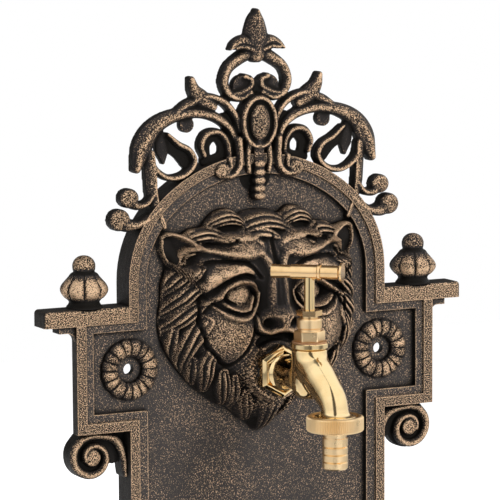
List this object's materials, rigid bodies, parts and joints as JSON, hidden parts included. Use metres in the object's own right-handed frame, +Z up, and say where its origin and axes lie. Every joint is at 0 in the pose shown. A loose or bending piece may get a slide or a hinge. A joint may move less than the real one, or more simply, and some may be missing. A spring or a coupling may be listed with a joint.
{
  "type": "wall fountain",
  "caption": "Cast-iron wall fountain: arched back with an openwork scroll crest, lion mask, side shelves with finials, brass tap with a tee handle, and a half-round basin.",
  "frame": {"origin": "on the wall plane, midway between the two wall-screw holes", "axes": "+Z up, +Y into the wall, +X to the right as seen from in front"},
  "size_m": [0.28, 0.2006, 0.6315],
  "materials": {
    "iron": "graphite black with bronze dry-brushed on the raised faces",
    "polished_brass": "polished",
    "satin_brass": "fine turned, satin",
    "plain_brass": "as machined",
    "rubber": "matt",
    "steel": "zinc plated"
  },
  "bodies": {
    "fountain": {"back_plate": "iron", "crest": "iron", "lion_mask": "iron", "shelf_left": "iron", "shelf_right": "iron", "finial_left": "iron", "finial_right": "iron", "rosette_left": "iron", "rosette_right": "iron", "volute_left": "iron", "volute_right": "iron", "basin": "iron", "tap_body": "polished_brass", "tap_bonnet": "satin_brass", "gland_nut": "satin_brass", "inlet_locknut": "plain_brass", "drain_strainer": "plain_brass", "drain_locknut": "plain_brass", "drain_washer": "plain_brass", "drain_gasket": "rubber", "basin_bolt_seals": "rubber", "gland_packing": "rubber", "inlet_washer": "rubber", "bonnet_seal": "rubber", "basin_bolts": "steel", "basin_bolt_washers": "steel", "basin_bolt_nuts": "steel"},
    "valve": {"valve_jumper": "plain_brass", "valve_washer": "rubber", "jumper_nut": "plain_brass"},
    "stem": {"spindle": "polished_brass", "tee_handle": "satin_brass"},
    "hose_end": {"hose_tail": "satin_brass", "union_washer": "rubber"},
    "union": {"union_nut": "satin_brass"}
  },
  "joints": [
    {"name": "valve_lift", "type": "slide", "parent": "fountain", "child": "valve", "axis": [0, 0, 1], "range_m": [0, 0.004]},
    {"name": "handle_turn", "type": "hinge", "parent": "valve", "child": "stem", "pos_m": [0, -0.0815, 0], "axis": [0, 0, 1], "range_deg": [0, 720]},
    {"name": "union_drop", "type": "slide", "parent": "fountain", "child": "hose_end", "axis": [0, 0, -1], "range_m": [0, 0.00545]},
    {"name": "nut_turn", "type": "hinge", "parent": "hose_end", "child": "union", "pos_m": [0, -0.1125, 0], "axis": [0, 0, -1], "range_deg": [0, 1080]}
  ],
  "couplings": [
    {"joint": "valve_lift", "follows": "handle_turn", "m_per_rad": 0.000318},
    {"joint": "union_drop", "follows": "nut_turn", "m_per_rad": 0.0002887}
  ]
}
